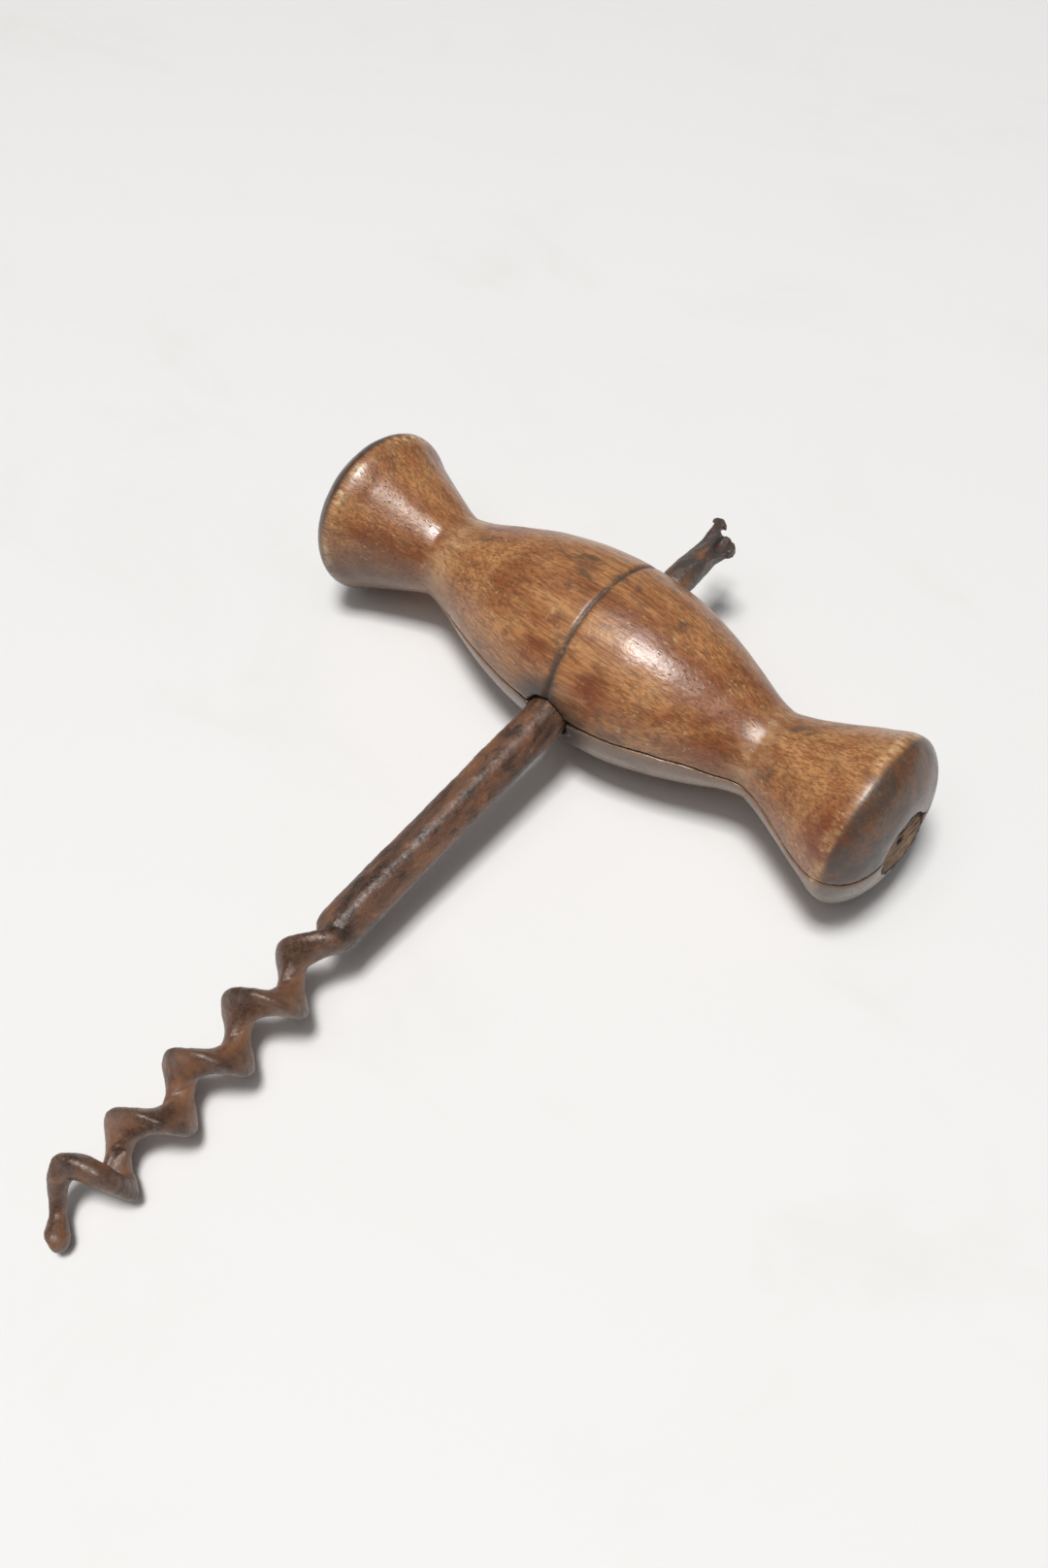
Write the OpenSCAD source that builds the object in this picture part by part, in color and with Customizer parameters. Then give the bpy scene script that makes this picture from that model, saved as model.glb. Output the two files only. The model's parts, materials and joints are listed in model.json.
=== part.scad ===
// Old direct-pull corkscrew with a turned wooden T-handle, lying on its side.
// The handle runs along X, the worm points to -Y and the forked tang to +Y.
// Millimetres. Z = 0 is the surface that it lies on.

/* [Handle] */
// Length of the handle from end to end
handle_length = 100; // [92:1:110]
// Radius at the middle of the barrel
barrel_radius = 13.9; // [13:0.1:15]
// Radius of the waists between the barrel and the flared ends
waist_radius = 6.9; // [6.2:0.1:7.6]
// Radius of the flared ends at their rim
rim_radius = 12.9; // [12:0.1:13.5]
// Radius of the flat that is left in the middle of each rounded end
end_flat_radius = 5.2; // [5:0.1:7]
// Depth of the ring that is scribed round the middle of the barrel
ring_depth = 0.35; // [0.2:0.05:0.6]
// Opening of the split at the front of the handle
split_width = 0.6; // [0.3:0.1:1]
// How far the split's plane is turned up from the shank at the front, in degrees
split_tilt = 5; // [0:1:8]

/* [Brush socket] */
// Radius of the round socket in one end
socket_radius = 4.6; // [4.5:0.1:4.9]
// Depth from the end face down to the worn plug
socket_depth = 1.2; // [1:0.1:5]
// Radius of the plug that is left in the narrower hole behind the socket
plug_radius = 4.2; // [3.8:0.1:4.3]
// Length of the plug
plug_length = 4; // [3:0.5:8]
// Radius of the small hole in the plug
plug_hole_radius = 0.75; // [0.5:0.05:1.2]

/* [Iron] */
// Radius of the round shank
shank_radius = 3.15; // [3:0.05:3.3]
// Radius of the tang where it leaves the back of the handle
tang_radius = 2.5; // [2.4:0.05:2.6]
// Clearance between the iron and the wood all round
iron_clearance = 0.06; // [0.05:0.01:0.1]
// Distance from the handle's axis to where the shank ends in the worm
shank_reach = 58.6; // [54:0.2:63]
// Distance from the handle's axis to the point of the worm
worm_reach = 109; // [104:1:116]
// Length of one turn of the worm
worm_pitch = 9.9; // [9:0.1:11]
// Outer radius of the worm
worm_radius = 4.9; // [4.5:0.1:5.2]
// Width of the worm's bar from its inner side to its outer ridge
bar_width = 4.1; // [3.8:0.1:4.4]
// Thickness of the worm's bar along the shank
bar_thickness = 4.2; // [3.4:0.1:4.4]
// Distance from the handle's axis to the end of the longer prong
fork_reach = 29.9; // [28:0.1:32]
// Thickness of the prongs
prong_thickness = 2.4; // [2:0.1:2.6]

/* [Hidden] */
$fn = 72;

half_length = handle_length / 2;
rim_at = 0.92 * half_length;
profile_steps = 48;
end_steps = 12;
bore_front_radius = shank_radius + iron_clearance;
bore_back_radius = tang_radius + iron_clearance;
bore_half_length = barrel_radius + 1;
ring_half_width = 0.45;
socket_floor = half_length - socket_depth;
plug_floor = socket_floor - plug_length;
plug_clearance = 0.02;
plug_hole_floor = 1;
tang_end = 23;

bar_sides = 12;
ridge_taper = 0.5;
rings_per_turn = 20;
worm_begin = shank_reach - 3.6;
worm_run = worm_reach - bar_thickness / 2 - worm_begin;
worm_turns = worm_run / worm_pitch;
worm_rings = round(worm_turns * rings_per_turn);
worm_start_angle = 262;
// The last turns of the worm slim down to this share of the bar.
slim_turns = 1.2;
slim_share = 0.65;

// The corkscrew lies on its barrel and on the underside of its last full turn,
// so the shank dips towards the point.
under_turn = (270 - worm_start_angle) / 360;
contact_turns = floor(worm_turns - slim_turns - under_turn) + under_turn;
worm_contact = worm_begin + contact_turns * worm_pitch;
rest_dip = asin((barrel_radius - worm_radius) / worm_contact);

// The section of the worm's bar: thick inside and drawn out to a ridge, as [outwards, along].
bar_section = [for (k = [0:bar_sides - 1])
    let (turn = 360 * k / bar_sides)
    [bar_width / 2 * cos(turn), bar_thickness / 2 * sin(turn) * (1 - ridge_taper * cos(turn))]];

// The ends of the resting outline along Y: the origin is under the middle between them.
front_y = min([for (k = [0:bar_sides - 1])
    let (tip = worm_point(worm_rings, k))
    tip[1] * cos(rest_dip) - tip[2] * sin(rest_dip)]);
back_y = fork_reach * cos(rest_dip) + prong_thickness / 2 * sin(rest_dip);

// The turned outline of half the handle: [distance from the middle, radius].
stations = [
    [0, barrel_radius],
    [0.14, barrel_radius - 0.5],
    [0.28, barrel_radius - 2],
    [0.42, barrel_radius - 4.4],
    [0.52, waist_radius + 0.65],
    [0.6, waist_radius],
    [0.7, waist_radius + 1.75],
    [0.82, rim_radius - 1.75],
    [0.92, rim_radius],
];

// Where x falls among the stations.
function span_at(x, i = 0) =
    i >= len(stations) - 2 || x < stations[i + 1][0] ? i : span_at(x, i + 1);

waist_station = 5;

// The slope of the outline at station i, flat at the middle, the waist and the rim.
function slope_at(i) =
    i == 0 || i == waist_station || i == len(stations) - 1 ? 0 :
    (stations[i + 1][1] - stations[i - 1][1]) / (stations[i + 1][0] - stations[i - 1][0]);

// The outline's radius at a share x of the half length, on smooth cubic spans.
function outline_radius(x) =
    let (i = span_at(x),
         width = stations[i + 1][0] - stations[i][0],
         t = (x - stations[i][0]) / width)
    (2 * t ^ 3 - 3 * t ^ 2 + 1) * stations[i][1]
        + (t ^ 3 - 2 * t ^ 2 + t) * width * slope_at(i)
        + (3 * t ^ 2 - 2 * t ^ 3) * stations[i + 1][1]
        + (t ^ 3 - t ^ 2) * width * slope_at(i + 1);

// From the middle out to the rim, then round the end to its flat.
half_outline = concat(
    [for (k = [0:profile_steps])
        let (x = stations[len(stations) - 1][0] * k / profile_steps)
        [outline_radius(x), x * half_length]],
    [for (k = [1:end_steps])
        let (turn = 90 * k / end_steps)
        [end_flat_radius + (rim_radius - end_flat_radius) * cos(turn),
         rim_at + (half_length - rim_at) * sin(turn)]]
);

// Lays a piece drawn about the shank's own axis down into the resting pose.
module at_rest() {
    translate([0, -(front_y + back_y) / 2, barrel_radius])
        rotate([rest_dip, 0, 0])
            children();
}

// A cylinder or cone along -Y that starts at a distance in front of the handle's axis.
module along_shank(start, length, r1, r2) {
    translate([0, -start, 0]) rotate([90, 0, 0]) cylinder(h = length, r1 = r1, r2 = r2);
}

module turned_handle() {
    rotate([0, 90, 0]) for (side = [0, 1]) mirror([0, 0, side])
        rotate_extrude($fn = 96) polygon(concat([[0, 0]], half_outline, [[0, half_length]]));
}

module handle_bore() {
    along_shank(-bore_half_length, 2 * bore_half_length, bore_back_radius, bore_front_radius);
}

// The scribed ring, a V-shaped groove round the barrel.
module scribed_ring() {
    rotate([0, 90, 0]) rotate_extrude($fn = 96) polygon([
        [barrel_radius - ring_depth, 0],
        [barrel_radius + 1, -ring_half_width * (1 + 1 / ring_depth)],
        [barrel_radius + 1, ring_half_width * (1 + 1 / ring_depth)],
    ]);
}

// The wide mouth of the socket, and the narrower hole behind it that holds the plug.
module brush_socket() {
    rotate([0, 90, 0]) {
        translate([0, 0, socket_floor]) cylinder(h = socket_depth + 1, r = socket_radius);
        translate([0, 0, plug_floor]) cylinder(h = plug_length + 1, r = plug_radius);
    }
}

// The whole handle before it split, with its bore, ring and socket cut.
module hollowed_handle() {
    difference() {
        turned_handle();
        handle_bore();
        scribed_ring();
        brush_socket();
    }
}

// Everything on one side of the split: up is 1 above it and -1 below.
module side_of_split(up) {
    reach = half_length + 1;
    rotate([-split_tilt, 0, 0]) translate([-reach, -reach, up > 0 ? 0 : -reach])
        cube([2 * reach, 2 * reach, reach]);
}

// The wedge that opens the split at the front and dies out behind the bore.
module split_wedge() {
    reach = half_length + 1;
    half_gape = split_width * reach / (2 * barrel_radius);
    rotate([-split_tilt, 0, 0]) rotate([90, 0, 90]) translate([0, 0, -reach])
        linear_extrude(2 * reach)
            polygon([[bore_back_radius, 0], [-reach, -half_gape], [-reach, half_gape]]);
}

module handle_half(up) {
    at_rest() difference() {
        intersection() {
            hollowed_handle();
            side_of_split(up);
        }
        split_wedge();
    }
}

module handle_upper_half() {
    color("sienna") handle_half(1);
}

module handle_lower_half() {
    color("peru") handle_half(-1);
}

// The stub of a lost dusting brush, bored in the middle, at the bottom of the socket.
module brush_socket_plug() {
    color("saddlebrown") at_rest() translate([plug_floor, 0, 0]) rotate([0, 90, 0]) difference() {
        cylinder(h = plug_length, r = plug_radius - plug_clearance);
        translate([0, 0, plug_hole_floor]) cylinder(h = plug_length, r = plug_hole_radius);
    }
}

// How far along the worm station i is, from 0 at the shank to 1 at the point.
function share(i) = i / worm_rings;

// The bar's size there: it fills out as it leaves the shank, and slims down to a blunt end.
function bar_size(t) =
    let (left = (1 - t) * worm_turns)
    min(1, 0.55 + t * worm_turns) * (1 - (1 - slim_share) * max(0, 1 - left / slim_turns));

// A point of the worm: station i, point k of its section.
function worm_point(i, k) =
    let (t = share(i),
         angle = worm_start_angle + 360 * worm_turns * t,
         size = bar_size(t),
         out = worm_radius - bar_width + (bar_section[k][0] + bar_width / 2) * size,
         along = worm_begin + worm_run * t + bar_section[k][1] * size)
    [out * cos(angle), -along, out * sin(angle)];

module worm() {
    points = [for (i = [0:worm_rings]) for (k = [0:bar_sides - 1]) worm_point(i, k)];
    walls = [for (i = [0:worm_rings - 1]) for (k = [0:bar_sides - 1])
        let (next = (k + 1) % bar_sides, here = i * bar_sides, there = here + bar_sides)
        each [[here + k, here + next, there + next], [here + k, there + next, there + k]]];
    first_end = [[for (k = [bar_sides - 1:-1:0]) k]];
    last_end = [[for (k = [0:bar_sides - 1]) worm_rings * bar_sides + k]];
    polyhedron(points, concat(walls, first_end, last_end));
}

// The shank and tang, turned about their own axis: [radius, distance in front of the handle's axis].
module shank_and_tang() {
    bore_rise = (shank_radius - tang_radius) / (2 * bore_half_length);
    rotate([90, 0, 0]) rotate_extrude() polygon(concat(
        [[0, -tang_end], [tang_radius, -tang_end], [tang_radius, -bore_half_length],
         [shank_radius, bore_half_length], [shank_radius, shank_reach - shank_radius]],
        [for (turn = [10:10:90])
            [shank_radius * cos(turn), shank_reach - shank_radius * (1 - sin(turn))]]
    ));
}

// The flat outline of the fork, from its waist round the longer prong and its lip,
// through the notch and round the shorter, splayed prong.
module fork_outline() {
    polygon([
        [-2, fork_reach - 8.4], [-2, fork_reach - 5], [-2.6, fork_reach - 1.3],
        [-3, fork_reach - 0.7], [-2.9, fork_reach], [-1.8, fork_reach],
        [-0.8, fork_reach - 0.5], [-0.6, fork_reach - 1.4],
        [-0.1, fork_reach - 2.7], [0.6, fork_reach - 2.4], [1.5, fork_reach - 2.6],
        [3.2, fork_reach - 3.7], [3.4, fork_reach - 4.7], [2.8, fork_reach - 5.2],
        [2, fork_reach - 7], [2, fork_reach - 8.4],
    ]);
}

module fork() {
    translate([0, 0, -prong_thickness / 2]) linear_extrude(prong_thickness) fork_outline();
}

// Worm, shank, tang and fork are drawn down from one bar of iron.
module iron_worm_and_shank() {
    color("dimgray") at_rest() {
        shank_and_tang();
        fork();
        worm();
    }
}

handle_upper_half();
handle_lower_half();
brush_socket_plug();
iron_worm_and_shank();
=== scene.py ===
"""An old direct-pull corkscrew: a split, turned wooden T-handle on a forged iron shank and worm.

Shapes are worked out in millimetres in the tool's own frame, with x along the handle, y from the
worm back to the tang and z up, and to_row() lays them down in the row frame, in metres. Each shape
is a field that is negative inside, meshed by surface_net() and then roughened along its normals.
"""
import bpy
import itertools
import json
import math
import numpy as np
from mathutils import Matrix, Vector


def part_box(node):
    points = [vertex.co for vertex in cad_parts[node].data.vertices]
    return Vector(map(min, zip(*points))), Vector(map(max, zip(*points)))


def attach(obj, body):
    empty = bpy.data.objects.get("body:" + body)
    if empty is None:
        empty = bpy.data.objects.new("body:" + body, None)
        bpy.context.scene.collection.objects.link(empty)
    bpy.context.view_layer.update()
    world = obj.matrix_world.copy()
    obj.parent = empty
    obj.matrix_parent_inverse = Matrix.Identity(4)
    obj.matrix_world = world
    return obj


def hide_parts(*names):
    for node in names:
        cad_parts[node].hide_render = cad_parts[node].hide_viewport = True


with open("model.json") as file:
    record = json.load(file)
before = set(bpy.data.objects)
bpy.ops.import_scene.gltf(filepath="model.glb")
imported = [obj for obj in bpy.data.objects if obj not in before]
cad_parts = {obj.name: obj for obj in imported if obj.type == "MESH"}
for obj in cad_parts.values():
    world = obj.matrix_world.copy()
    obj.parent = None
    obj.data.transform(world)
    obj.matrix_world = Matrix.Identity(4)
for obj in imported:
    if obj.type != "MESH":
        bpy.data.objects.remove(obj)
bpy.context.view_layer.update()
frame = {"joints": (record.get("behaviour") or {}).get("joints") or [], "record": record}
MM = 0.001
TINY = 1e-9
# What a field says where it isn't worked out: well outside, in millimetres.
FAR = 9.0

# ---------------------------------------------------------------- places from the frame

MOUNTS = {mount["name"]: mount for mount in frame["record"]["mounts"]}
SOCKET = Vector(MOUNTS["brush_socket"]["pos_m"])
TO_WORM = Vector(frame["joints"][0]["axis"]).normalized()
ALONG = Vector((1, 0, 0))
BACK = -TO_WORM
UP = ALONG.cross(BACK)
HANDLE_CENTRE = Vector((0, SOCKET.y, SOCKET.z))
HALF_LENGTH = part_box("handle_upper_half")[1].x / MM
BARREL = HANDLE_CENTRE.z / MM


def to_row(points):
    """Points in the tool's frame, in millimetres, as points in the row frame, in metres."""
    turn = np.array([ALONG, BACK, UP])
    return np.array(HANDLE_CENTRE) + points @ turn * MM


# ---------------------------------------------------------------- numbers and fields

def curve(*stations):
    """A smooth function through (place, value) stations that doesn't overshoot them."""
    places, values = np.array(stations, float).T
    rise = np.diff(values) / np.diff(places)
    slopes = np.zeros(len(values))
    same_way = rise[1:] * rise[:-1] > 0
    mean = 2 * rise[1:] * rise[:-1] / np.where(same_way, rise[1:] + rise[:-1], 1)
    slopes[1:-1] = np.where(same_way, mean, 0)
    fine = np.linspace(places[0], places[-1], 4001)
    span = np.clip(np.searchsorted(places, fine, side="right") - 1, 0, len(places) - 2)
    width = places[span + 1] - places[span]
    t = (fine - places[span]) / width
    table = (
        (2 * t**3 - 3 * t**2 + 1) * values[span]
        + (t**3 - 2 * t**2 + t) * width * slopes[span]
        + (3 * t**2 - 2 * t**3) * values[span + 1]
        + (t**3 - t**2) * width * slopes[span + 1]
    )
    return lambda x: np.interp(x, fine, table)


def step(value, start, end):
    """0 before start, 1 after end, and smooth between them."""
    t = np.clip((value - start) / (end - start), 0, 1)
    return t * t * (3 - 2 * t)


def bump(value, centre, width):
    """A hill of height 1 round a centre."""
    return np.exp(-(((value - centre) / width) ** 2))


def larger(a, b, blend):
    """The larger of two fields, with its crease rounded off."""
    near = np.maximum(blend - np.abs(a - b), 0) / blend
    return np.maximum(a, b) + near * near * blend / 4


def smaller(a, b, blend):
    """The smaller of two fields, with its crease filled in."""
    return -larger(-a, -b, blend)


def lattice(ix, iy, iz, seed):
    """A fixed random number from -1 to 1 for each whole-numbered place."""
    mixed = (ix * 374761393 + iy * 668265263 + iz * 1274126177 + seed * 974634777) & 0xFFFFFFFF
    mixed = ((mixed ^ (mixed >> 13)) * 1103515245) & 0xFFFFFFFF
    mixed = ((mixed ^ (mixed >> 15)) * 668265263) & 0xFFFFFFFF
    return ((mixed ^ (mixed >> 16)) & 0xFFFF) / 32767.5 - 1


def noise(x, y, z, seed):
    """Smooth noise from -1 to 1 that changes over a distance of about 1."""
    x, y, z = np.broadcast_arrays(x, y, z)
    whole = [np.floor(value).astype(np.int64) for value in (x, y, z)]
    part = [step(value - floor, 0, 1) for value, floor in zip((x, y, z), whole)]
    total = np.zeros(x.shape)
    for corner in itertools.product((0, 1), repeat=3):
        weight = 1.0
        for far, share in zip(corner, part):
            weight = weight * (share if far else 1 - share)
        total += weight * lattice(*(floor + far for floor, far in zip(whole, corner)), seed)
    return total


# ---------------------------------------------------------------- from field to mesh

CORNERS = [np.array(corner) for corner in itertools.product((0, 1), repeat=3)]
CELL_EDGES = [(a, b) for a in CORNERS for b in CORNERS if (b - a).sum() == 1 and (b - a).min() == 0]


def surface_net(field, low, high, pitch):
    """Points and quads of the surface where a field is zero, with a quad for each crossed grid edge."""
    axes = [np.arange(low[axis], high[axis] + pitch, pitch) for axis in range(3)]
    values = field(*np.meshgrid(*axes, indexing="ij", sparse=True)).astype(np.float32)
    solid = values < 0
    cells = tuple(n - 1 for n in solid.shape)
    filled = sum(
        solid[tuple(slice(c, c + n) for c, n in zip(corner, cells))].astype(np.int8)
        for corner in CORNERS
    )
    mixed = (filled > 0) & (filled < len(CORNERS))
    where = np.argwhere(mixed)
    place = np.full(cells, -1)
    place[mixed] = np.arange(len(where))
    total = np.zeros((len(where), 3))
    hits = np.zeros(len(where))
    for a, b in CELL_EDGES:
        start, end = values[tuple((where + a).T)], values[tuple((where + b).T)]
        crossed = (start < 0) != (end < 0)
        share = start[crossed] / (start[crossed] - end[crossed])
        total[crossed] += a + share[:, None] * (b - a)
        hits[crossed] += 1
    points = np.array(low) + (where + total / hits[:, None]) * pitch
    return points, np.concatenate([crossed_edges(solid, place, axis) for axis in range(3)])


def crossed_edges(solid, place, axis):
    """A quad round each grid edge along one axis that goes from inside to outside."""
    u, v = (axis + 1) % 3, (axis + 2) % 3
    ahead = np.moveaxis(np.moveaxis(solid, axis, 0)[1:], 0, axis)
    here = np.moveaxis(np.moveaxis(solid, axis, 0)[:-1], 0, axis)
    edges = np.argwhere(ahead != here)
    inner = (edges[:, u] > 0) & (edges[:, v] > 0)
    inner &= (edges[:, u] < solid.shape[u] - 1) & (edges[:, v] < solid.shape[v] - 1)
    edges = edges[inner]
    over, across = np.eye(3, dtype=int)[u], np.eye(3, dtype=int)[v]
    ring = [place[tuple((edges - move).T)] for move in (0 * over, over, over + across, across)]
    quads = np.stack(ring, axis=1)
    leaving = solid[tuple(edges.T)]
    quads[~leaving] = quads[~leaving][:, ::-1]
    return quads


def slope_of(points, field, reach=0.02):
    """The field's slope at each point."""
    slope = np.zeros_like(points)
    for axis in range(3):
        move = np.eye(3)[axis] * reach
        slope[:, axis] = field(*(points + move).T) - field(*(points - move).T)
    return slope / (2 * reach)


def settled(points, field, furthest):
    """Points moved onto the surface itself, and their outward normals."""
    for _ in range(2):
        slope = slope_of(points, field)
        steep = np.maximum((slope**2).sum(1), 0.05)
        move = -(field(*points.T) / steep)[:, None] * slope
        size = np.linalg.norm(move, axis=1, keepdims=True)
        points = points + move * np.minimum(1, furthest / np.maximum(size, TINY))
    slope = slope_of(points, field)
    return points, slope / np.maximum(np.linalg.norm(slope, axis=1, keepdims=True), TINY)


def shaped(field, low, high, pitch, rough):
    """Points and quads of a field's surface, pushed out along the normals by rough(x, y, z)."""
    points, quads = surface_net(field, low, high, pitch)
    points, normals = settled(points, field, 0.6 * pitch)
    return points + normals * rough(*points.T)[:, None], quads


def piece(name, points, quads, masks, material, slot, body, *nodes):
    """A shown piece that stands for CAD nodes and moves with their body."""
    mesh = bpy.data.meshes.new(name)
    mesh.from_pydata(to_row(points), [], quads)
    mesh.shade_smooth()
    for mask, values in masks.items():
        layer = mesh.attributes.new(mask, "FLOAT", "POINT")
        layer.data.foreach_set("value", np.clip(values, 0, 1).astype(np.float32))
    mesh.materials.append(material)
    obj = bpy.data.objects.new(name, mesh)
    bpy.context.scene.collection.objects.link(obj)
    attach(obj, body)
    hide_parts(*nodes)


# ---------------------------------------------------------------- the handle

RIM_AT = 45.2
END_FLAT = 5.0
END_FULLNESS = 1.8
RING_DEPTH = 0.3
RING_WIDTH = 0.36
# The turned radius, by place along the handle.
OUTLINE = curve(
    (-46, 12.95), (-45, 12.9), (-41, 11.0), (-35, 8.4), (-31.2, 6.95), (-30.2, 6.75), (-29, 6.9),
    (-26, 7.7), (-21, 9.6), (-14, 12.0), (-7, 13.4), (0, BARREL), (7, 13.4), (14, 11.8), (21, 9.3),
    (26, 7.35), (27.7, 6.95), (28.5, 6.85), (29.4, 7.0), (35, 8.9), (41, 11.4), (45, 12.75), (46, 12.75),
)

# The crack's plane is turned up from the shank at the front, and wanders along the grain.
CRACK_TILT = math.radians(5)
CRACK_LOWEST = -9
CRACK_HIGHEST = 3
CRACK_CLOSED = 0.015
CRACK_WANDER = curve(
    (-50, -7), (-37, -7), (-31, -4.4), (-26, -2.0), (-22, -0.9), (-12, -0.1), (-5, -0.5), (4, 0.2),
    (10, 0.5), (20, 0.8), (25, 0.2), (31, 0.2), (41, -0.9), (46, 0.4), (50, -0.3),
)
CRACK_GAP = curve(
    (-50, 0.0), (-30, 0.0), (-22, 0.06), (-8, 0.09), (-3.6, 0.18), (3.2, 0.5), (4.6, 0.42), (5.8, 0.2),
    (9, 0.13), (20, 0.12), (34, 0.05), (50, 0.07),
)

# How far the iron slides, its radius at the front and the back of the bore, half the length over
# which it tapers, and the gap round it.
TRAVEL = frame["joints"][0]["range_m"][1] / MM
SHANK = 3.15
TANG = 2.5
BORE_HALF = 14.9
BORE_GAP = 0.09
# The worn mouth of the socket is an oval, lower than the socket that was bored.
RECESS_DROP = 1.1
RECESS_WIDE = 1.08
RECESS_HIGH = 0.88
SOCKET_RADIUS = MOUNTS["brush_socket"]["dims"]["r_mm"]
SOCKET_FLOOR = HALF_LENGTH - MOUNTS["brush_socket"]["dims"]["length_mm"]
PLUG_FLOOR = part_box("brush_socket_plug")[0].x / MM
PLUG_SUNK = 0.22
PLUG_TILT = 0.1
PLUG_GAP = 0.02
PLUG_RADIUS = (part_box("brush_socket_plug")[1].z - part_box("brush_socket_plug")[0].z) / 2 / MM
# How far the grids reach past the wood, and their pitches.
HANDLE_MARGIN = 0.6
HANDLE_PITCH = 0.295
PLUG_MARGIN = 0.4
PLUG_SIDE = 5.6
PLUG_PITCH = 0.14


def turned(x, y, z):
    """The whole handle as it was turned, without its bore."""
    rho = np.hypot(y, z)
    radius = OUTLINE(x) - RING_DEPTH * bump(x, 0, RING_WIDTH)
    slope = (OUTLINE(x + 0.1) - OUTLINE(x - 0.1)) / 0.2
    side = (rho - radius) / np.sqrt(1 + slope**2)
    width, length = OUTLINE(x) - END_FLAT, HALF_LENGTH - RIM_AT
    across = np.maximum(rho - END_FLAT, 0) / width
    along = np.maximum(np.abs(x) - RIM_AT, 0) / length
    across, along = across + TINY, along + TINY
    size = (across**END_FULLNESS + along**END_FULLNESS) ** (1 / END_FULLNESS)
    rise = np.hypot(
        across ** (END_FULLNESS - 1) / width, along ** (END_FULLNESS - 1) / length
    ) / size ** (END_FULLNESS - 1)
    end = (size - 1) / (rise + TINY)
    return np.where(np.abs(x) > RIM_AT, end, side)


def bore_radius(y):
    """The iron's radius inside the handle, tapering to the back."""
    return SHANK + (TANG - SHANK) * np.clip((y + BORE_HALF) / (2 * BORE_HALF), 0, 1)


def bored(x, y, z):
    """The handle with its ragged bore, a chip at its mouth, and the socket in one end."""
    skin = turned(x, y, z)
    mouth = np.exp(-np.maximum(-skin, 0) / 0.7)
    chips = 0.28 + 0.3 * noise(x / 0.8, 7.5, z / 0.8, 11) + 0.28 * step(z, -1, 2)
    chips = chips + 0.8 * bump(x, 3.8, 0.8) * bump(z, -1.0, 0.9)
    wall = np.hypot(x, z) - bore_radius(y) - BORE_GAP - np.maximum(chips, 0.02) * mouth
    skin = larger(skin, -wall, 0.3)
    ragged = 0.3 * noise(3.2, y / 1.6, z / 1.6, 12) + 0.18 * noise(9.1, y / 0.7, z / 0.7, 13) - 0.1
    skin = larger(skin, -np.maximum(recess(y, z) - ragged, SOCKET_FLOOR - x), 0.3)
    hole = np.maximum(np.hypot(y, z) - PLUG_RADIUS, PLUG_FLOOR - x)
    return np.maximum(skin, -hole)


def above_crack(x, y, z):
    """Height above the middle of the crack."""
    front = step(-y, -2, 10)
    fibres = 0.08 * noise(x / 1.6, y / 0.5, 0.5, 21) + 0.14 * noise(x / 5, y / 1.5, 0.5, 22)
    wander = (CRACK_WANDER(x) + 0.1 * noise(x / 3, 0.5, 0.5, 23)) * front
    return z * math.cos(CRACK_TILT) + y * math.sin(CRACK_TILT) - wander - fibres


def half_gap(x, y):
    """Half the width of the crack, which closes behind the bore."""
    return CRACK_CLOSED + CRACK_GAP(x) * step(-y, -3, 12)


def upper_half(x, y, z):
    """What is above the crack, with a lip that is hardly worn."""
    return larger(bored(x, y, z), half_gap(x, y) - above_crack(x, y, z), 0.16)


def lower_half(x, y, z):
    """The lower half has dropped a little, so its worn lip stands proud of the upper half."""
    proud = 0.12 * step(-y, 2, 9) * step(z, -8, 0)
    return larger(bored(x, y, z) - proud, above_crack(x, y, z) + half_gap(x, y), 0.3)


def worn_wood(x, y, z):
    """The hand-turned unevenness, dents and raised grain of the wood."""
    broad = 0.10 * noise(x / 14, y / 9, z / 9, 31)
    dents = 0.035 * noise(x / 3, y / 2.2, z / 2.2, 32)
    grain = 0.012 * noise(x / 4, y / 0.45, z / 0.45, 33)
    return broad + dents + grain - 0.03


# Reddened patches: the place and spread of each along x, then along z.
BLUSHES = ((6, 3.4, 7, 3.4), (-4.5, 3.2, 8.5, 2.6), (43, 2, 7, 4))


def handle_masks(x, y, z):
    """Where the wood is torn, stained, worn or dirty, greyer below, lighter on top at its necks, and
    darkened low on its front by painted shade, each from 0 to 1.
    """
    inner = step(-turned(x, y, z), 0.16, 0.5)
    height = above_crack(x, y, z)
    below_crack = step(-height, 0, 0.5) * step(-y, 2, 6)
    mouth = np.hypot(np.hypot(x, z) - SHANK, np.maximum(y + 12, 0))
    ring = bump(x, 0.12 * noise(y / 3, z / 3, 0.5, 41), 0.48 + 0.35 * step(-y, 6, 13))
    blush = sum(bump(x, at_x, wide) * bump(z, at_z, high) for at_x, wide, at_z, high in BLUSHES)
    far_end = 0.5 + 0.5 * step(-x, 26, 36)
    return {
        "torn": inner,
        "lip": np.exp(-np.abs(height) / 0.35) * (1 - inner) * step(-y, 0, 3),
        "stain": step(-mouth, -5.5, -0.3) * step(-y, 3, 9),
        "ring": ring * step(z, -12, 2) * (1 - inner),
        "rim": bump(np.abs(x), 44.6, 0.9) * (1 - inner),
        "face": step(np.abs(x), 44.9, 46.0),
        "under": np.maximum(step(-z, 0.5, 6), below_crack) * step(x, -34, -24),
        # low: painted shade, dark on the lower front of the handle and most at its left end.
        "low": step(-z, -8, 2) * step(-y, 2, 8) * far_end * (1 - step(x, 24, 32)),
        "blush": blush * step(-y, 2, 8),
        "neck": np.maximum(bump(x, 28.5, 2.2), bump(x, -27.5, 2.6)) * step(z, -2, 3),
    }


def recess(y, z):
    """How far a place is outside the worn, oval mouth of the socket, seen along the handle."""
    return np.hypot(y / RECESS_WIDE, (z + RECESS_DROP) / RECESS_HIGH) - SOCKET_RADIUS


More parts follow.
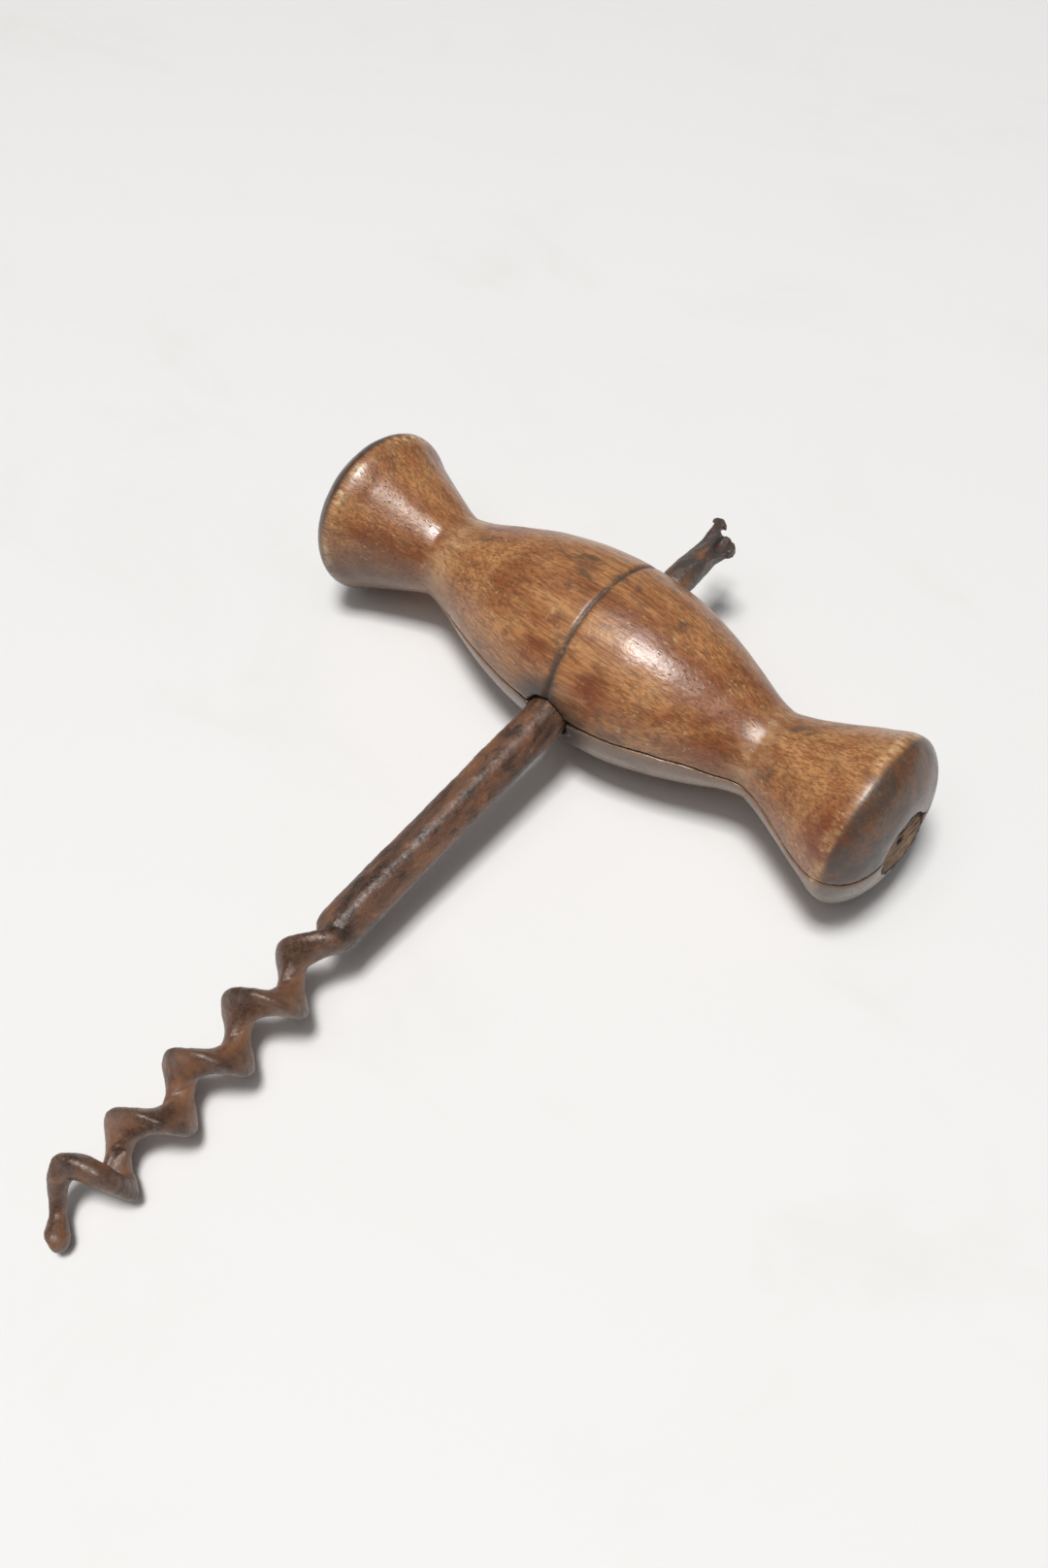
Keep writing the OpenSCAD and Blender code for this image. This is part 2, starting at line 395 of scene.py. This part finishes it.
def plug_top(z):
    """How far along the handle the plug's tilted face is."""
    return HALF_LENGTH - PLUG_SUNK - PLUG_TILT * (z + RECESS_DROP)


def socket_plug(x, y, z):
    """The worn stub that fills the socket nearly to its mouth, with fibres standing along y."""
    fibres = 0.16 * noise(0.5, y / 3.2, z / 0.55, 51) + 0.12 * noise(0.5, y / 1.2, z / 0.35, 52)
    edge = recess(y, z)
    worn = 0.35 * step(edge, -1.0, -0.1) * step(z, -3, 0)
    top = x - (plug_top(z) + fibres - worn)
    stub = np.maximum(np.hypot(y, z) - PLUG_RADIUS + PLUG_GAP, PLUG_FLOOR - x)
    head = np.maximum(edge - 0.2, SOCKET_FLOOR - 0.2 - x)
    body = larger(np.minimum(stub, head), top, 0.15)
    hole = np.hypot((y + 0.2) / 1.35, z + 0.3) - 0.6 - 0.12 * noise(0.5, y / 0.5, z / 0.5, 53)
    return larger(body, -np.maximum(hole, SOCKET_FLOOR - 1.2 - x), 0.2)


def plug_masks(x, y, z):
    """Where the plug gets painted shade round its edge and in its hole, each from 0 to 1."""
    return {
        # edge: painted shade round the plug, where the socket's wall shades it.
        "edge": step(recess(y, z), -0.9, -0.1),
        # hole: painted shade down in the plug's hole.
        "hole": step(plug_top(z) - 0.5 - x, 0, 0.4),
    }


# ---------------------------------------------------------------- the iron

SHANK_REACH = 58.6
WORM_BEGIN = 55.0
WORM_POINT = 107.6
WORM_PITCH = 9.9
WORM_START = 262
# The grid that holds the iron, and its pitch.
IRON_LOW = (-7.2, -112, -6.2)
IRON_HIGH = (6.2, 31, 8.2)
IRON_PITCH = 0.194

# Half the bar's thickness along the shank, by its distance out from the worm's axis as a share of
# the ridge's: solid near the axis, hollow in the flanks and drawn out to a ridge.
BAR_HALF = curve(
    (-0.2, 4.2), (0, 3.9), (0.14, 3.3), (0.3, 2.65), (0.5, 1.95), (0.7, 1.4), (0.85, 1.0),
    (0.95, 0.65), (1, 0.35), (1.1, -1), (2, -9),
)
# By turns from the shank: how far out the ridge is, the bar's size, and how far it is drawn forward.
RIDGE_OUT = curve(
    (0, 2.9), (0.2, 3.1), (0.45, 3.6), (0.7, 4.4), (1.2, 4.9), (3.2, 4.9), (3.7, 4.7), (4.2, 4.8),
    (6, 4.8),
)
BAR_SIZE = curve(
    (0, 0.9), (0.25, 1.6), (0.45, 1.75), (0.62, 1.25), (0.8, 1.0), (1, 1), (3.9, 1), (4.5, 0.8),
    (6, 0.8),
)
BAR_FORWARD = curve(
    (0, 0), (0.25, -1.2), (0.45, -1.3), (0.7, 0.3), (1.2, 0.1), (1.7, 0), (2.2, 0.1), (2.7, 0.5),
    (3.2, 0.2), (3.7, 0.5), (4.2, 0.9), (6, 0.9),
)
# How round the ridge is, how steep the field is across the bar, how many turns it has, how fast the
# field rises past the last one, and where it is cut off.
RIDGE_ROUND = 0.3
FLANK_SLOPE = 0.8
HELIX_TURNS = 4.2
HELIX_FADE = 12
HELIX_END = 98.2
CORE_RADIUS = 0.45
CORE_END = 94
WORM_RISE = curve((0, 0), (88, 0), (97, 0.4), (120, 0.4))
# The last turn is bent up and open: x, distance forward, z and half thickness along its middle.
LAST_TURN = (
    (1.7, 96.4, -2.7, 0.9), (3.1, 97.2, -1.3, 1.15), (2.7, 97.7, 0.9, 1.3), (1.2, 98.3, 2.9, 1.5),
    (-1.1, 99.2, 3.6, 1.55), (-2.3, 100.4, 3.1, 1.45), (-2.3, 101.7, 2.0, 1.2), (-1.9, 103.1, 0.4, 1.0),
    (-0.9, 104.6, -1.0, 1.0), (0.2, 105.8, -1.4, 1.35), (1.2, 106.8, -1.4, 1.7),
)
# It is swept as a bar and then as a thin ridge outside the first part of it. For each: how far out
# it is, its share of the thickness, the last place it reaches, and how softly it joins.
SWEEPS = ((1, 1, len(LAST_TURN) - 1, 0.2), (1.42, 0.34, 7, 1.3))


def only_where(near, field, x, y, z):
    """A field that is worked out only in some places, and is simply outside in the others."""
    x, y, z, near = np.broadcast_arrays(x, y, z, near)
    values = np.full(x.shape, FAR)
    values[near] = field(x[near], y[near], z[near])
    return values


def helix(x, y, z):
    """The wound bar, its section thick inside and drawn out to a ridge."""
    z = z - WORM_RISE(-y)
    out = np.hypot(x, z)
    angle = np.degrees(np.arctan2(z, x))
    first = np.mod(angle - WORM_START, 360) / 360
    best = np.full(np.broadcast_shapes(x.shape, y.shape, z.shape), FAR)
    for turn in range(math.ceil(HELIX_TURNS)):
        done = first + turn
        away = -y - (WORM_BEGIN + done * WORM_PITCH + BAR_FORWARD(done))
        ridge = RIDGE_OUT(done) - 0.25 * bump(first, 0.6, 0.06)
        half = BAR_HALF(out / ridge) * BAR_SIZE(done)
        bar = (np.hypot(away, RIDGE_ROUND) - half) * FLANK_SLOPE
        bar = larger(bar, (done - HELIX_TURNS) * HELIX_FADE, 0.8)
        best = smaller(best, bar, 0.5)
    best = smaller(best, np.maximum(out - CORE_RADIUS, -y - CORE_END), 1.6)
    return larger(best, -y - HELIX_END, 1.0)


def last_turn(x, y, z):
    """The open, bent end of the worm, slim and then flared to a blunt point."""
    steps = np.arange(len(LAST_TURN))
    path = [curve(*zip(steps, column)) for column in zip(*LAST_TURN)]
    best = np.full(np.broadcast_shapes(x.shape, y.shape, z.shape), FAR)
    for outward, thickness, end, blend in SWEEPS:
        fine = [line(np.linspace(0, end, 3 * end + 1)) for line in path]
        bar = np.full(best.shape, FAR)
        for (ax, bx), (ay, by), (az, bz), (ar, br) in zip(*(zip(line, line[1:]) for line in fine)):
            a = np.array([ax * outward, -ay, az * outward])
            ex, ey, ez = np.array([bx * outward, -by, bz * outward]) - a
            t = ((x - a[0]) * ex + (y - a[1]) * ey + (z - a[2]) * ez) / (ex * ex + ey * ey + ez * ez)
            t = np.clip(t, 0, 1)
            gap = (x - a[0] - t * ex) ** 2 + (y - a[1] - t * ey) ** 2 + (z - a[2] - t * ez) ** 2
            bar = smaller(bar, np.sqrt(gap) - (ar + t * (br - ar)) * thickness, 0.2)
        best = smaller(best, bar, blend)
    return larger(best, -y - WORM_POINT - 0.25 * x, 0.5)


def worm(x, y, z):
    """The wound part and the bent end, each worked out only where it lies."""
    wound = only_where((-y > 50) & (-y < 104), helix, x, y, z)
    return smaller(wound, only_where(-y > 91, last_turn, x, y, z), 0.8)


def shank(x, y, z):
    """The forged shank, a little flat on its sides, and the round tang behind it."""
    out, angle = np.hypot(x, z), np.arctan2(z, x)
    free = step(-y, 13, 17)
    flats = 0.08 * np.cos(5 * angle + 0.6 + y / 40) + 0.03 * np.cos(3 * angle - y / 17)
    waves = 0.10 * noise(x / 5, y / 7, z / 5, 61)
    radius = bore_radius(y) + (flats + waves) * free
    drawn = 0.35 * step(y, 13.5, 15.5) + 0.8 * step(y, 17, 24)
    radius = np.where(y > BORE_HALF, TANG, radius) - drawn
    body = out - radius
    end = np.sqrt(out**2 + np.maximum(-y - (SHANK_REACH - SHANK), 0) ** 2) - radius
    return larger(np.where(-y > SHANK_REACH - SHANK, end, body), y - 24, 1.0)


# The fork seen from above, and by y its half thickness and the ridge between its two prongs.
FORK_OUTLINE = (
    (-2.1, 15), (-2.1, 19.5), (-1.95, 22.4), (-1.95, 24.6), (-2.35, 26.4), (-2.6, 28.5), (-3.2, 28.6),
    (-3.3, 29.2), (-2.8, 29.6), (-1.6, 29.45), (-0.5, 28.95), (-0.3, 28.5), (-0.9, 28.3), (-0.75, 27.4),
    (-0.4, 27.1), (0.1, 27.1), (0.5, 27.5), (1.3, 27.4), (1.9, 26.9), (2.6, 26.6), (3.2, 26.1),
    (3.4, 25.3), (3.0, 24.7), (2.6, 24.5), (2.2, 23.4), (2.05, 22.2), (2.1, 20.8), (2.3, 19.0), (2.3, 15),
)
FORK_PLACES = (15, 19, 23, 27, 28.8, 29.6, 31)
FORK_THICK = (2.45, 2.3, 1.6, 0.9, 0.65, 0.75, 0.75)
RIDGE = curve((14, 1.4), (19, 1.1), (22, 0.7), (25, 0.1), (27.2, -0.3), (30, -1.4))


def outline_field(x, y, outline):
    """Distance outside a closed flat outline."""
    corners = np.array(outline, float)
    nearest, inside = np.full(np.broadcast_shapes(x.shape, y.shape), np.inf), False
    for (ax, ay), (bx, by) in zip(corners, np.roll(corners, -1, axis=0)):
        ex, ey = bx - ax, by - ay
        t = np.clip(((x - ax) * ex + (y - ay) * ey) / (ex * ex + ey * ey), 0, 1)
        nearest = np.minimum(nearest, (x - ax - t * ex) ** 2 + (y - ay - t * ey) ** 2)
        between = (ay > y) != (by > y)
        inside = inside ^ (between & (x < ax + (y - ay) * ex / (ey if ey else TINY)))
    return np.where(inside, -1, 1) * np.sqrt(nearest)


def fork(x, y, z):
    """The tang's split end: a straight prong with a mushroomed lip, and a splayed one, scooped out.

    What goes into the bore at the end of the travel is kept round and slimmer than the bore.
    """
    edge = outline_field(x, y, FORK_OUTLINE)
    thick = np.interp(y, FORK_PLACES, FORK_THICK)
    right = x - RIDGE(y)
    scoop = 1.3 * step(right, -0.1, 0.7) * bump(y, 24.8, 3.4) * (1 - 0.6 * step(right, 1.6, 2.8))
    slope = 0.45 * np.maximum(-right, 0) * step(y, 16, 21)
    top = z - (thick - scoop - slope)
    bottom = -z - thick * (1 - 0.25 * step(y, 18, 24))
    through = np.hypot(x, z) - (TANG - 0.1 + np.maximum(y - BARREL - TRAVEL, 0))
    return larger(larger(edge, through, 0.3), larger(top, bottom, 0.3), 0.2)


def iron(x, y, z):
    """The whole forging: shank, tang, fork and worm."""
    tang = smaller(shank(x, y, z), only_where(y > 12, fork, x, y, z), 0.4)
    return smaller(tang, worm(x, y, z), 0.5)


def forged(x, y, z):
    """Hammer marks and rust pits."""
    free = step(-y, 13, 16) + step(y, 14, 16)
    marks = 0.06 * noise(x / 2.2, y / 3, z / 2.2, 71) + 0.05 * noise(x / 0.9, y / 1.1, z / 0.9, 72)
    pits = 0.03 * noise(x / 0.4, y / 0.4, z / 0.4, 73)
    return (marks + pits) * free - 0.01


def iron_masks(x, y, z):
    """The tang, the worm, its ridge, which gets painted shade, and the grooves where it leaves the shank,
    each from 0 to 1.
    """
    out = np.hypot(x, z)
    worm_part = step(-y, 54, 60)
    return {
        "tang": step(y, 10, 20),
        "worm": worm_part,
        # ridge: painted shade along the worm's outer ridge.
        "ridge": worm_part * step(out, 4.0, 4.9),
        "joint": bump(-y, 57, 3.0) * step(2.9 - np.abs(worm(x, y, z) - shank(x, y, z)), 1.6, 2.8),
    }


# ---------------------------------------------------------------- materials

class Paint:
    """Short names for the nodes of one material."""

    def __init__(self, name):
        self.material = bpy.data.materials.new(name)
        self.material.use_nodes = True
        self.tree = self.material.node_tree
        self.shader = self.tree.nodes["Principled BSDF"]

    def put(self, socket, value):
        """Another node's output, a colour or a number, given to a socket."""
        if isinstance(value, bpy.types.NodeSocket):
            self.tree.links.new(value, socket)
        elif hasattr(socket.default_value, "__len__") and len(value) == 3 and socket.type == "RGBA":
            socket.default_value = (*value, 1)
        else:
            socket.default_value = value

    def node(self, kind, settings=(), **inputs):
        """A node with its settings and named inputs."""
        made = self.tree.nodes.new("ShaderNode" + kind)
        for key, value in dict(settings).items():
            setattr(made, key, value)
        for key, value in inputs.items():
            self.put(made.inputs[key.replace("_", " ")], value)
        return made

    def place(self, *stretch):
        """The position on the piece in millimetres, times a number for each axis."""
        here = self.node("TexCoord").outputs["Object"]
        made = self.node("VectorMath", {"operation": "MULTIPLY"})
        self.put(made.inputs[0], here)
        made.inputs[1].default_value = [number / MM for number in stretch]
        return made.outputs[0]

    def noise(self, vector, detail=3.0, roughness=0.55, distortion=0.0):
        made = self.node("TexNoise", Vector=vector, Scale=1.0, Detail=detail, Roughness=roughness,
                         Distortion=distortion)
        return made.outputs[0]

    def mask(self, name):
        return self.node("Attribute", {"attribute_name": name}).outputs["Fac"]

    def sums(self, operation, a, b):
        made = self.node("Math", {"operation": operation})
        self.put(made.inputs[0], a)
        self.put(made.inputs[1], b)
        return made.outputs[0]

    def times(self, a, b):
        return self.sums("MULTIPLY", a, b)

    def masked(self, name, share):
        """A share, only where a mask is."""
        return self.times(self.mask(name), share)

    def between(self, value, start, end, low=0.0, high=1.0):
        """low up to start, high from end, and smooth between them."""
        made = self.node("MapRange", {"interpolation_type": "SMOOTHSTEP"}, Value=value)
        made.inputs["From Min"].default_value = start
        made.inputs["From Max"].default_value = end
        made.inputs["To Min"].default_value = low
        made.inputs["To Max"].default_value = high
        return made.outputs[0]

    def mix(self, share, a, b):
        """Colour a where the share is 0, and b where it is 1."""
        made = self.node("Mix", {"data_type": "RGBA"})
        self.put(made.inputs[0], share)
        self.put(made.inputs[6], a)
        self.put(made.inputs[7], b)
        return made.outputs[2]

    def layers(self, colour, *layers):
        """A colour with others laid over it, each a pair of share and colour."""
        for share, tint in layers:
            colour = self.mix(share, colour, tint)
        return colour

    def wear(self, **values):
        """Sets or links inputs of the material's shader."""
        for key, value in values.items():
            self.put(self.shader.inputs[key.replace("_", " ")], value)

    def relief(self, height, distance, strength, normal=None):
        """A bump of a real height in millimetres, over an earlier one if given."""
        made = self.node("Bump", Height=height, Strength=strength, Distance=distance * MM)
        if normal is not None:
            self.put(made.inputs["Normal"], normal)
        return made.outputs[0]


def wood():
    """Waxed, hand-worn walnut-brown wood with its grain along the handle."""
    paint = Paint("worn_walnut")
    patches = paint.noise(paint.place(0.04, 0.075, 0.075), 4.0, 0.6, 0.6)
    figure = paint.noise(paint.place(0.05, 0.55, 0.55), 4.0, 0.6, 0.3)
    fibre = paint.noise(paint.place(0.22, 3.2, 3.2), 3.0, 0.6)
    specks = paint.noise(paint.place(0.8, 1.5, 1.5), 4.0, 0.65)
    stains = paint.noise(paint.place(0.11, 0.16, 0.16), 5.0, 0.65, 0.4)
    pores = paint.noise(paint.place(0.42, 3.6, 3.6), 2.0, 0.5)
    mottle = paint.noise(paint.place(0.35, 0.6, 0.6), 5.0, 0.7, 0.8)

    dashes = paint.times(paint.between(pores, 0.34, 0.28), paint.between(patches, 0.62, 0.46))
    flecks = paint.times(paint.between(specks, 0.6, 0.68, 0, 0.6), paint.between(stains, 0.42, 0.54))
    sound = paint.layers(
        paint.mix(paint.between(patches, 0.38, 0.58), (0.29, 0.095, 0.034), (0.56, 0.265, 0.105)),
        (paint.between(figure, 0.42, 0.68, 0, 0.46), (0.28, 0.08, 0.026)),
        (paint.between(figure, 0.44, 0.32, 0, 0.36), (0.52, 0.31, 0.14)),
        (paint.between(mottle, 0.5, 0.62, 0, 0.34), (0.15, 0.055, 0.022)),
        (paint.between(fibre, 0.4, 0.62, 0, 0.54), (0.11, 0.045, 0.02)),
        (flecks, (0.60, 0.42, 0.21)),
        (paint.between(stains, 0.55, 0.7, 0, 0.7), (0.085, 0.052, 0.038)),
        (paint.times(dashes, 0.6), (0.05, 0.026, 0.014)),
    )

    rim = paint.times(paint.between(specks, 0.42, 0.56), paint.between(stains, 0.56, 0.44, 0.1, 1.0))
    end_grain = paint.mix(paint.between(stains, 0.42, 0.55), (0.10, 0.042, 0.024), (0.045, 0.040, 0.037))
    torn = paint.mix(paint.between(fibre, 0.3, 0.7), (0.05, 0.028, 0.016), (0.20, 0.115, 0.055))
    grime = (0.045, 0.034, 0.028)
    colour = paint.layers(
        sound,
        (paint.masked("rim", rim), (0.68, 0.48, 0.27)),
        (paint.masked("face", paint.between(patches, 0.62, 0.4, 0.8, 0.97)), end_grain),
        (paint.masked("neck", paint.between(mottle, 0.4, 0.6, 0.45, 0.15)), (0.68, 0.45, 0.24)),
        (paint.masked("blush", paint.between(mottle, 0.38, 0.6, 0.4, 0.95)), (0.19, 0.043, 0.015)),
        # Painted shade: dark brown over the lower front of the handle, by the low mask.
        (paint.masked("low", paint.between(mottle, 0.35, 0.65, 0.9, 0.6)), (0.085, 0.045, 0.024)),
        (paint.masked("under", paint.between(mottle, 0.35, 0.65, 0.75, 0.5)), (0.20, 0.155, 0.125)),
        (paint.masked("stain", paint.between(stains, 0.35, 0.6, 0.5, 1.0)), grime),
        (paint.masked("ring", paint.between(specks, 0.3, 0.55, 0.55, 0.95)), grime),
        (paint.masked("lip", 0.45), (0.34, 0.22, 0.13)),
        (paint.mask("torn"), torn),
    )

    dull = paint.between(stains, 0.35, 0.65, 0.25, 0.38)
    for more in (paint.times(dashes, 0.2), paint.masked("torn", 0.4), paint.masked("ring", 0.3)):
        dull = paint.sums("ADD", dull, more)
    normal = paint.relief(paint.sums("SUBTRACT", 1.0, dashes), 0.10, 0.8)
    normal = paint.relief(fibre, 0.05, 0.4, normal)
    normal = paint.relief(paint.noise(paint.place(1.2, 1.6, 1.6), 4.0, 0.6), 0.10, 0.4, normal)
    paint.wear(Base_Color=colour, Roughness=dull, Specular_IOR_Level=0.65, Normal=normal)
    return paint.material


def stub_wood():
    """The rough, dirty end of the plug, with fibres along y, and painted shade round its edge and in its
    hole.
    """
    paint = Paint("rough_plug_wood")
    fibre = paint.noise(paint.place(1.5, 0.35, 2.8), 4.0, 0.6, 0.3)
    dirt = paint.noise(paint.place(0.6, 0.6, 0.6), 3.0, 0.6)
    colour = paint.layers(
        paint.mix(paint.between(fibre, 0.35, 0.65), (0.075, 0.042, 0.025), (0.42, 0.24, 0.12)),
        (paint.between(dirt, 0.45, 0.65, 0, 0.7), (0.13, 0.10, 0.085)),
        # Painted shade round the plug's edge, then in its hole.
        (paint.masked("edge", 0.85), (0.05, 0.036, 0.03)),
        (paint.mask("hole"), (0.04, 0.012, 0.008)),
    )
    dull = paint.between(fibre, 0.3, 0.7, 0.8, 0.6)
    paint.wear(Base_Color=colour, Roughness=dull, Normal=paint.relief(fibre, 0.2, 0.8))
    return paint.material


def rust():
    """Old iron, brown with rust, dark in its hollows, with painted shade along the worm's ridge, and
    rubbed grey where it is handled.
    """
    paint = Paint("rusted_iron")
    clouds = paint.noise(paint.place(0.22, 0.08, 0.22), 4.0, 0.6, 0.5)
    blotches = paint.noise(paint.place(0.5, 0.22, 0.5), 4.0, 0.62, 0.3)
    crust = paint.noise(paint.place(2.2, 1.6, 2.2), 4.0, 0.65)
    grains = paint.noise(paint.place(7, 7, 7), 2.0, 0.6)

    orange = paint.times(paint.between(blotches, 0.54, 0.7), paint.between(crust, 0.35, 0.6))
    worm_coat = paint.layers(
        paint.mix(paint.between(clouds, 0.4, 0.62), (0.11, 0.054, 0.033), (0.26, 0.118, 0.055)),
        (paint.between(crust, 0.4, 0.7, 0, 0.4), (0.22, 0.125, 0.085)),
    )
    colour = paint.layers(
        paint.mix(paint.between(clouds, 0.35, 0.62), (0.045, 0.028, 0.022), (0.195, 0.09, 0.047)),
        (paint.between(crust, 0.35, 0.65, 0, 0.5), (0.10, 0.045, 0.028)),
        (paint.times(orange, 0.75), (0.36, 0.155, 0.06)),
        (paint.between(blotches, 0.48, 0.38, 0, 0.85), (0.034, 0.023, 0.019)),
        (paint.masked("worm", 0.7), worm_coat),
        # Painted shade: dark along the worm's outer ridge.
        (paint.masked("ridge", 0.55), (0.05, 0.03, 0.022)),
        (paint.masked("tang", paint.between(blotches, 0.6, 0.5, 0.15, 0.93)), (0.060, 0.053, 0.050)),
        (paint.masked("joint", 0.8), (0.03, 0.02, 0.016)),
        (paint.between(grains, 0.54, 0.68, 0, 0.5), (0.30, 0.17, 0.11)),
    )
    rubbed = paint.between(clouds, 0.5, 0.36, 0, 0.55)
    dull = paint.sums("SUBTRACT", paint.between(crust, 0.35, 0.7, 0.32, 0.56), paint.times(rubbed, 0.12))
    normal = paint.relief(grains, 0.05, 0.7, paint.relief(crust, 0.10, 0.7))
    paint.wear(
        Base_Color=colour, Metallic=paint.times(rubbed, 0.5), Roughness=dull,
        Specular_IOR_Level=0.75, Normal=normal,
    )
    return paint.material


def tabletop():
    """A pale, matt surface with the faintest marks."""
    paint = Paint("pale_floor")
    marks = paint.noise(paint.place(0.02, 0.03, 0.02), 5.0, 0.65, 0.5)
    colour = paint.mix(paint.between(marks, 0.5, 0.75, 0, 0.35), (0.86, 0.86, 0.86), (0.78, 0.775, 0.76))
    paint.wear(Base_Color=colour, Roughness=0.6, Specular_IOR_Level=0.2)
    return paint.material


# ---------------------------------------------------------------- pieces

def make_handle():
    """The two halves and the plug in the socket."""
    walnut = wood()
    side, end = BARREL + HANDLE_MARGIN, HALF_LENGTH + HANDLE_MARGIN
    for node, field, floor, ceiling in (
        ("handle_upper_half", upper_half, CRACK_LOWEST, side),
        ("handle_lower_half", lower_half, -side, CRACK_HIGHEST),
    ):
        low, high = (-end, -side, floor), (end, side, ceiling)
        points, quads = shaped(field, low, high, HANDLE_PITCH, worn_wood)
        masks = handle_masks(*points.T)
        piece("worn_" + node, points, quads, masks, walnut, "handle_wood", "handle", node)
    low = (PLUG_FLOOR - PLUG_MARGIN, -PLUG_SIDE, -PLUG_SIDE)
    high = (HALF_LENGTH + PLUG_MARGIN, PLUG_SIDE, PLUG_SIDE)
    points, quads = shaped(socket_plug, low, high, PLUG_PITCH, lambda x, y, z: 0 * x)
    masks, stub = plug_masks(*points.T), stub_wood()
    piece("worn_socket_plug", points, quads, masks, stub, "socket_wood", "handle", "brush_socket_plug")


def make_iron():
    points, quads = shaped(iron, IRON_LOW, IRON_HIGH, IRON_PITCH, forged)
    masks, iron_rust = iron_masks(*points.T), rust()
    piece("forged_iron", points, quads, masks, iron_rust, "rusted_iron", "iron", "iron_worm_and_shank")


make_handle()
make_iron()

# ---------------------------------------------------------------- floor, light and camera

# All of this is in metres, in the row frame.
FLOOR_HALF = 1.5
FLOOR_HEIGHT = -0.0001
LIGHT_COLOUR = (1.0, 0.985, 0.965)
# Each lamp's name, direction, distance, size and power.
LAMPS = (
    ("key_softbox", (0.03, -0.15, 1), 1.6, 0.38, 20.0),
    ("fill_softbox", (0.05, -0.25, 1), 1.6, 1.3, 6.0),
)
WORLD_STRENGTH = 0.10
CAMERA_AT = (0.0908, -0.0743, 0.1849)
CAMERA_AZIMUTH = math.radians(43.9)
CAMERA_ELEVATION = math.radians(54.4)
CAMERA_ROLL = math.radians(-3.4)
CAMERA_SENSOR_MM = 36
CAMERA_LENS_MM = 35.64


def make_floor():
    mesh = bpy.data.meshes.new("floor")
    signs = ((-1, -1), (1, -1), (1, 1), (-1, 1))
    corners = [(across * FLOOR_HALF, along * FLOOR_HALF, FLOOR_HEIGHT) for across, along in signs]
    mesh.from_pydata(corners, [], [(0, 1, 2, 3)])
    mesh.materials.append(tabletop())
    floor = bpy.data.objects.new("floor", mesh)
    bpy.context.scene.collection.objects.link(floor)


def area_light(name, towards, distance, size, power):
    """A soft square lamp that faces the middle of the frame from a direction."""
    lamp = bpy.data.lights.new(name, "AREA")
    lamp.size = size
    lamp.energy = power
    lamp.color = LIGHT_COLOUR
    obj = bpy.data.objects.new(name, lamp)
    way = Vector(towards).normalized()
    obj.location = way * distance
    obj.rotation_mode = "QUATERNION"
    obj.rotation_quaternion = way.to_track_quat("Z", "Y")
    bpy.context.scene.collection.objects.link(obj)


def make_light():
    """The lamps and a faint even light from all round."""
    for lamp in LAMPS:
        area_light(*lamp)
    world = bpy.data.worlds.new("studio")
    world.use_nodes = True
    background = world.node_tree.nodes["Background"]
    background.inputs["Color"].default_value = (1.0, 1.0, 1.0, 1)
    background.inputs["Strength"].default_value = WORLD_STRENGTH
    bpy.context.scene.world = world
    bpy.context.scene.view_settings.view_transform = "Standard"


def make_camera():
    """The camera, where a fit to the photograph's outlines puts it."""
    camera = bpy.data.cameras.new("camera")
    camera.sensor_width = CAMERA_SENSOR_MM
    camera.lens = CAMERA_LENS_MM
    camera.clip_start = 0.01
    obj = bpy.data.objects.new("camera", camera)
    level, height = math.cos(CAMERA_ELEVATION), math.sin(CAMERA_ELEVATION)
    back = Vector((math.sin(CAMERA_AZIMUTH) * level, -math.cos(CAMERA_AZIMUTH) * level, height))
    turn = back.to_track_quat("Z", "Y").to_matrix() @ Matrix.Rotation(CAMERA_ROLL, 3, "Z")
    obj.matrix_world = Matrix.Translation(CAMERA_AT) @ turn.to_4x4()
    bpy.context.scene.collection.objects.link(obj)
    bpy.context.scene.camera = obj


make_floor()
make_light()
make_camera()
